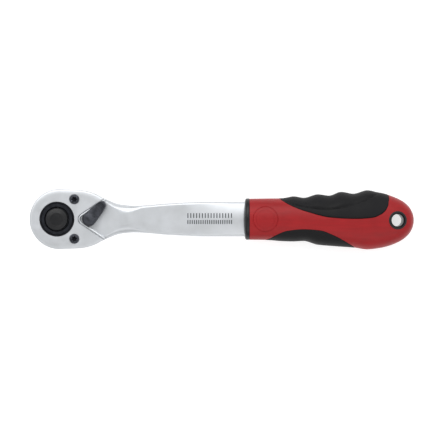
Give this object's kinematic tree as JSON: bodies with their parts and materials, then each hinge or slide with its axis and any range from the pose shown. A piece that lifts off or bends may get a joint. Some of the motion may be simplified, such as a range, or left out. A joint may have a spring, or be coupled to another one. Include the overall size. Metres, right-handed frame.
{
  "type": "ratchet wrench",
  "caption": "Reversible square-drive ratchet wrench with a pear head, quick-release button, thumb lever, oval chrome shank and a soft-padded red and black grip with a hanging hole",
  "frame": {"origin": "On the drive axis, in the plane of the shoulder that a socket seats against", "axes": "+Z along the drive axis toward the lever side, the square points to -Z; +X along the handle toward the hanging hole"},
  "size_m": [0.265, 0.0417, 0.041],
  "materials": {
    "satin_chrome": "satin chrome plating over a fine blasted surface",
    "black_steel": "black oxide, lightly oiled",
    "bright_steel": "ground steel",
    "black_plastic": "moulded black nylon",
    "black_rubber": "soft moulded elastomer, fine matt grain",
    "red_plastic": "moulded hard plastic, fine satin grain"
  },
  "bodies": {
    "body": {"ratchet_body": "satin_chrome", "cover_plate": "satin_chrome", "cover_screws": "black_steel", "hub_bush": "black_steel", "thrust_washer": "bright_steel", "grip_collar": "black_rubber", "grip_core": "red_plastic", "grip_pad_upper": "black_rubber", "grip_pad_lower": "black_rubber", "hang_eyelet": "black_rubber"},
    "wheel": {"drive_wheel": "black_steel", "hub_seal": "black_rubber", "button_snap_ring": "black_steel", "release_spring": "bright_steel"},
    "button": {"release_button": "black_plastic", "release_pin": "bright_steel"},
    "ball": {"detent_ball": "bright_steel"},
    "lever": {"reverser_lever": "black_steel", "lever_seal": "black_rubber", "pawl_spring": "bright_steel"},
    "plunger": {"pawl_plunger": "bright_steel"},
    "pawl_rocker": {"pawl": "black_steel"}
  },
  "joints": [
    {"name": "wheel_spin", "type": "hinge", "parent": "body", "child": "wheel", "pos_m": [0, 0, 0], "axis": [0, 0, 1], "continuous": true},
    {"name": "button_press", "type": "slide", "parent": "wheel", "child": "button", "axis": [0, 0, -1], "range_m": [0, 0.0028], "stiffness_N_per_m": 900, "springref_m": -0.003, "deforming": ["release_spring"]},
    {"name": "ball_slide", "type": "slide", "parent": "wheel", "child": "ball", "axis": [0, 1, 0], "range_m": [0, 0.0008]},
    {"name": "lever_swing", "type": "hinge", "parent": "body", "child": "lever", "pos_m": [0.0222, 0, 0], "axis": [0, 0, 1], "range_deg": [-95, 0]},
    {"name": "pawl_rock", "type": "hinge", "parent": "body", "child": "pawl_rocker", "pos_m": [0.0182, 0, 0], "axis": [0, 0, 1], "range_deg": [0, 8]},
    {"name": "plunger_slide", "type": "slide", "parent": "lever", "child": "plunger", "axis": [0.6756, 0.7373, 0], "range_m": [0, 0.0009], "stiffness_N_per_m": 1200, "springref_m": -0.001, "deforming": ["pawl_spring"]}
  ],
  "couplings": [
    {"joint": "ball_slide", "follows": "button_press", "ratio": 0.2857},
    {"joint": "pawl_rock", "follows": "lever_swing", "ratio": -0.0842}
  ]
}
